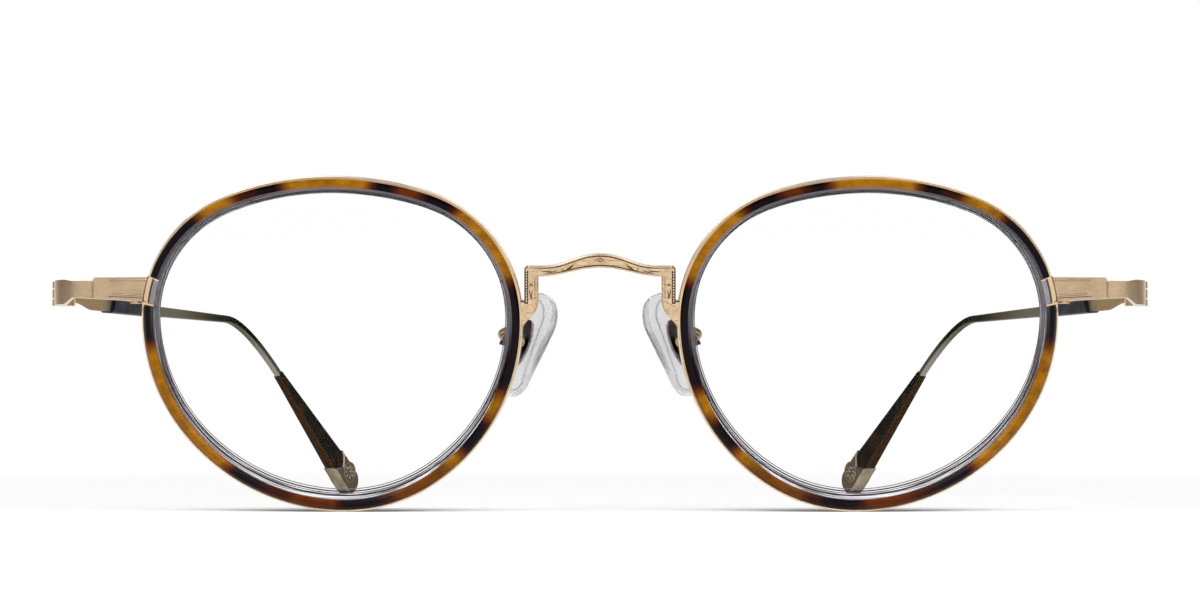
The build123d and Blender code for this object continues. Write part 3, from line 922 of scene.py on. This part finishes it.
for side, sign in sides.items():
    makePanelWork(side, sign)
print("panels engraved")


# the fine rings that the ground edge shows inside each lens

lensLines = {
    "steps": 120,
    "depth": 0.75,
    "height": 0.04,
    # distance inside the lens edge, width, metal
    "lines": (
        (0.55, 0.22, "wheelDark"),
        (0.75, 0.12, "wheelGrey"),
        (0.93, 0.18, "wheelDark"),
        (1.14, 0.12, "wheelGrey"),
    ),
    "spread": 0.42,  # the lines open out toward the foot of the lens
}


def makeLensLines(side):
    look = lensLines
    tree, centre, edge = hoopRound(side, "lens", look["steps"])
    for index, (inset, width, kind) in enumerate(look["lines"]):
        path = []
        for reach, toward in edge:
            distance = reach - inset * (1 - look["spread"] * toward.z) * mm
            spot, normal = frontOf(tree, centre.x + toward.x * distance, centre.z + toward.z * distance)
            path.append((spot - normal * look["depth"] * mm, normal))
        makeStrip(f"lensLine{index}_{side}", path, (width, look["height"]), metal[kind], closed=True)


for side in sides:
    makeLensLines(side)
print("lens edges lined")


# painted shadow lines beside the rib that crosses each ring, and the shaded inner side of the rib

ribWork = {
    "rimOuter": 1.0,
    "from": 12.6,  # degrees from the lens centre
    "to": 20.4,
    "samples": 24,
    "height": 0.05,
    # name, distance inside the rim's edge, width, metal
    "bands": (
        # painted shadow: a dark line where the rib steps up from the panel and one against the lens edge
        ("Groove", -0.05, 0.15, "engraved"),
        ("Edge", 0.66, 0.15, "engraved"),
        ("Side", 1.12, 0.78, "bevelGrey"),
    ),
}


def makeRibBands(side, sign):
    look = ribWork
    lensTree = surfaceOf("lens_" + side)
    ribTree = surfaceOf("end_piece_" + side)
    centre = centreOf("lens_" + side)
    for name, inset, width, kind in look["bands"]:
        points = []
        for degree in between(look["from"], look["to"], look["samples"]):
            angle = radians(degree if sign > 0 else 180 - degree)
            reach, toward = hoopEdge(lensTree, centre, angle, edgeSearch["lens"])
            reach += (look["rimOuter"] - inset) * mm
            points.append(((centre.x + toward.x * reach) / mm, (centre.z + toward.z * reach) / mm))
        makeStrip(f"rib{name}_{side}", laidOn(ribTree, points), (width, look["height"]), metal[kind])


for side, sign in sides.items():
    makeRibBands(side, sign)
print("ribs shaded")


# the rounded lip of each rim

lipWork = {"inset": 0.13, "band": (0.20, 0.20), "steps": 160}


def makeLip(side):
    tree, centre, edge = hoopRound(side, "rim", lipWork["steps"])
    path = []
    for reach, toward in edge:
        reach -= lipWork["inset"] * mm
        path.append(frontOf(tree, centre.x + toward.x * reach, centre.z + toward.z * reach))
    makeStrip("rimLip_" + side, path, lipWork["band"], metal["beadGold"], closed=True)


for side in sides:
    makeLip(side)
print("rim lips rounded")


# the inner edge of each nose pad

padEdge = {
    "length": 14.0,
    "top": 3.9,  # radius of the upper end
    "foot": 2.5,
    "inset": 0.85,
    "depth": 0.80,
    "band": (0.28, 0.24),
    "arcSteps": 40,
    "turnsTried": 360,  # directions tried when looking for the thin way through a pad
}


def padAxes(node):
    # centre, long axis, short axis and outward normal of a pad, from its own points
    points = [vertex.co.copy() for vertex in frame["nodes"][node].data.vertices]
    centre = centreOf(node)

    def extentAlong(axis):
        spread = [(point - centre).dot(axis) for point in points]
        return min(spread), max(spread)

    highest = max(points, key=lambda point: point.z)
    lowest = min(points, key=lambda point: point.z)
    rise = (highest - lowest).normalized()
    thinnest = None
    for step in range(padEdge["turnsTried"]):
        turn = pi * step / padEdge["turnsTried"]
        axis = Vector((cos(turn), -sin(turn), 0))
        axis = (axis - rise * axis.dot(rise)).normalized()
        near, far = extentAlong(axis)
        if thinnest is None or far - near < thinnest:
            thinnest = far - near
            normal = axis
    normal = normal if normal.y < 0 else -normal
    across = rise.cross(normal).normalized()
    for axis in (rise, across, normal):
        near, far = extentAlong(axis)
        centre = centre + axis * ((far + near) / 2)
    return centre, rise, across, normal


def makePadEdge(side):
    look = padEdge
    centre, rise, across, normal = padAxes("nose_pad_" + side)
    span = look["length"] - look["top"] - look["foot"]
    lean = acos((look["top"] - look["foot"]) / span)
    topCentre = look["length"] / 2 - look["top"]
    footCentre = look["foot"] - look["length"] / 2
    path = []
    for middle, radius, start, end in (
        (topCentre, look["top"] - look["inset"], -lean, lean),
        (footCentre, look["foot"] - look["inset"], lean, 2 * pi - lean),
    ):
        for turn in between(start, end, look["arcSteps"]):
            flat = rise * (middle + radius * cos(turn)) + across * (radius * sin(turn))
            path.append((centre + (flat + normal * look["depth"]) * mm, normal))
    makeStrip("padEdge_" + side, path, look["band"], padRim, "pad_assembly_" + side, closed=True)


for side in sides:
    makePadEdge(side)
print("pad edges laid")


# a plain rosette on the inner face of each tip cap

rosette = {
    "radius": 1.55,
    "rings": (("Rim", 1.0, 0.16), ("Ring", 0.80, 0.07)),  # name, share of the radius, width
    "ringHeight": 0.12,
    "ringSteps": 40,
    "fieldSteps": 32,
    "fieldLift": 0.015,
    "petals": 8,
    "petalSpan": 1.1,  # the petals are drawn for a rosette of this radius
    "petalMiddle": 0.60,
    "petalLength": 0.30,
    "petalWidth": 0.17,
    "petalHeight": 0.14,
    "petalLift": 0.02,
    "petalSteps": 12,
    "hub": 0.28,
}


def makeRosette(side, sign):
    look = rosette
    body = "temple_assembly_" + side
    middle = centreOf("tip_cap_" + side)
    start = Vector((0, middle.y, middle.z))
    spot, normal = surfaceOf("tip_cap_" + side).ray_cast(start, Vector((sign, 0, 0)))[:2]
    along = (Vector((0, 1, 0)) - normal * normal.y).normalized()
    across = normal.cross(along)

    def outwardAt(turn):
        return along * cos(turn) + across * sin(turn)

    for name, share, width in look["rings"]:
        path = []
        for turn in between(0.0, 2 * pi, look["ringSteps"] + 1)[:-1]:
            path.append((spot + outwardAt(turn) * look["radius"] * share * mm, normal))
        band = (width, look["ringHeight"])
        makeStrip(f"rosette{name}_{side}", path, band, metal["petalMetal"], body, closed=True)

    mesh = bmesh.new()
    hub = mesh.verts.new(spot + normal * look["fieldLift"] * mm)
    rim = []
    for turn in between(0.0, 2 * pi, look["fieldSteps"] + 1)[:-1]:
        rim.append(mesh.verts.new(hub.co + outwardAt(turn) * look["radius"] * mm))
    for one, other in zip(rim, rim[1:] + rim[:1]):
        mesh.faces.new((one, other, hub))
    pieceFrom(mesh, "rosetteField_" + side, metal["medal"], body)

    mesh = bmesh.new()
    scale = look["radius"] / look["petalSpan"]
    for petal in range(look["petals"]):
        turn = 2 * pi * petal / look["petals"]
        outward = outwardAt(turn)
        sideways = normal.cross(outward)
        ring = []
        for angle in between(0.0, 2 * pi, look["petalSteps"] + 1)[:-1]:
            reach = outward * (look["petalMiddle"] + look["petalLength"] * cos(angle))
            reach = reach + sideways * (look["petalWidth"] * sin(angle))
            ring.append(mesh.verts.new(spot + (reach * scale + normal * look["petalLift"]) * mm))
        crown = spot + (outward * look["petalMiddle"] * scale + normal * look["petalHeight"]) * mm
        crown = mesh.verts.new(crown)
        for one, other in zip(ring, ring[1:] + ring[:1]):
            mesh.faces.new((one, other, crown))
    pieceFrom(mesh, "rosettePetals_" + side, metal["petalMetal"], body)
    makeBeads("rosetteHub_" + side, [(spot, normal)], look["hub"], metal["petalMetal"], body)


for side, sign in sides.items():
    makeRosette(side, sign)
print("rosettes set")


# studio

worldLook = {
    "frontLevel": 0.53,
    "backLevel": 1.0,
    "awayRange": (0.70, 0.96),
    "zenith": 0.06,
    "heightRange": (0.50, 0.88),
    "flank": 0.30,
    "flankRange": (0.70, 0.96),
}


def makeWorld():
    # an even pale room, darker overhead and at both sides so that the metal gets its edges
    look = worldLook
    world = bpy.data.worlds.new("studioWorld")
    bpy.context.scene.world = world
    shader = Shader(world)
    sideways, away, height = shader.parts(shader.node("TexCoord", output="Generated"))
    level = shader.rescale(away, *look["awayRange"], look["frontLevel"], look["backLevel"])
    level = level * shader.rescale(height, *look["heightRange"], 1.0, look["zenith"])
    level = level * shader.rescale(shader.maths("ABSOLUTE", sideways), *look["flankRange"], 1.0, look["flank"])
    light = shader.node("Background", None, {"Color": shader.grey(level)})
    white = shader.node("Background", None, {"Color": (1, 1, 1, 1), "Strength": 1.0})
    path = shader.node("LightPath")
    cameraRay, throughRay = (shader.beside(path, name) for name in ("Is Camera Ray", "Is Transmission Ray"))
    direct = shader.maths("MAXIMUM", cameraRay, throughRay)
    shader.node("OutputWorld", None, {"Surface": shader.mixSurfaces(direct, light, white)})


floorLook = {
    "reach": 3.0,  # lengths of the floor are in metres
    "light": (0.52, 0.52, 0.52),
    "dark": (0.50, 0.50, 0.50),
    "glow": 0.62,
    "shadeLean": (0.0, -0.97, 0.24),
    "shadeReach": 0.024,  # how far from a foot the floor is shaded
    "shadeRange": (0.60, 0.93),
    "unshaded": 0.45,
    "whiteRange": (0.12, 0.34),  # where the floor turns into the white backdrop
}


def makeFloorMaterial():
    look = floorLook
    material, shader = newMaterial("studioFloor")
    path = shader.node("LightPath")
    cameraRay, glossyRay, throughRay = (
        shader.beside(path, name) for name in ("Is Camera Ray", "Is Glossy Ray", "Is Transmission Ray")
    )
    seen = shader.maths("MAXIMUM", cameraRay, shader.maths("MAXIMUM", glossyRay, throughRay))
    spot = shader.node("TexCoord", output="Object")
    distance = shader.node("VectorMath", {"operation": "LENGTH"}, {0: spot}, "Value")
    far = shader.rescale(distance, *look["whiteRange"])
    lean = shader.node("CombineXYZ", None, dict(enumerate(look["shadeLean"])))
    shadeInputs = {"Distance": look["shadeReach"], "Normal": lean}
    shade = shader.node("AmbientOcclusion", {"samples": 16}, shadeInputs, "AO")
    shade = shader.rescale(shade, *look["shadeRange"])
    dark = shader.node("Emission", None, {"Color": (0, 0, 0, 1), "Strength": 0.0})
    glow = shader.node("Emission", None, {"Color": (1, 1, 1, 1), "Strength": look["glow"]})
    white = shader.node("Emission", None, {"Color": (1, 1, 1, 1), "Strength": 1.0})
    glow = shader.mixSurfaces(seen, dark, shader.mixSurfaces(shade, dark, glow))
    colour = shader.blend(shader.noise(shader.place(), 0.02, 2.0), look["dark"], look["light"])
    lit = look["unshaded"] + shade * (1 - look["unshaded"])
    matte = shader.node("BsdfDiffuse", None, {"Color": shader.blend(lit, (0, 0, 0), colour)})
    near = shader.node("AddShader", None, {0: glow, 1: matte})
    shader.finish(shader.mixSurfaces(far * seen, near, white))
    return material


def makeFloor():
    mesh = bmesh.new()
    reach = floorLook["reach"]
    corners = [mesh.verts.new((x * reach, y * reach, 0)) for x, y in ((-1, -1), (1, -1), (1, 1), (-1, 1))]
    mesh.faces.new(corners)
    data = bpy.data.meshes.new("studioFloor")
    mesh.to_mesh(data)
    mesh.free()
    data.materials.append(makeFloorMaterial())
    floor = bpy.data.objects.new("studioFloor", data)
    bpy.context.scene.collection.objects.link(floor)


lamps = {
    "key": {"spot": (-0.45, -0.75, 0.75), "size": 0.7, "power": 5.0},
    "fill": {"spot": (0.5, -0.75, 0.65), "size": 0.8, "power": 4.2},
    "back": {"spot": (0.1, 0.75, 0.8), "size": 0.9, "power": 1.2},
}


lampAim = Vector((0, 0, 0.02))


def makeLamps():
    for name, look in lamps.items():
        data = bpy.data.lights.new(name + "Lamp", "AREA")
        data.size = look["size"]
        data.energy = look["power"]
        lamp = bpy.data.objects.new(name + "Lamp", data)
        lamp.location = look["spot"]
        lamp.rotation_mode = "QUATERNION"
        lamp.rotation_quaternion = (lampAim - lamp.location).to_track_quat("-Z", "Y")
        bpy.context.scene.collection.objects.link(lamp)


view = {
    "hingeSetback": 10.6,  # millimetres from the front back to the hinges
    "distance": 400.0,  # from the front to the camera
    "height": 10.5,
    "pitch": 2.377,
    "lens": 93.96,
    "sensor": 36.0,
    "clip": (0.01, 20.0),  # metres
}


def makeCamera():
    data = bpy.data.cameras.new("camera")
    data.sensor_width = view["sensor"]
    data.lens = view["lens"]
    data.clip_start, data.clip_end = view["clip"]
    camera = bpy.data.objects.new("camera", data)
    frontY = hinge.y - view["hingeSetback"] * mm
    camera.location = (0, frontY - view["distance"] * mm, view["height"] * mm)
    camera.rotation_euler = (radians(90 + view["pitch"]), 0, 0)
    bpy.context.scene.collection.objects.link(camera)
    bpy.context.scene.camera = camera


bpy.context.scene.view_settings.view_transform = "Standard"
makeCamera()
makeWorld()
makeFloor()
makeLamps()
print("studio, lamps and camera ready")
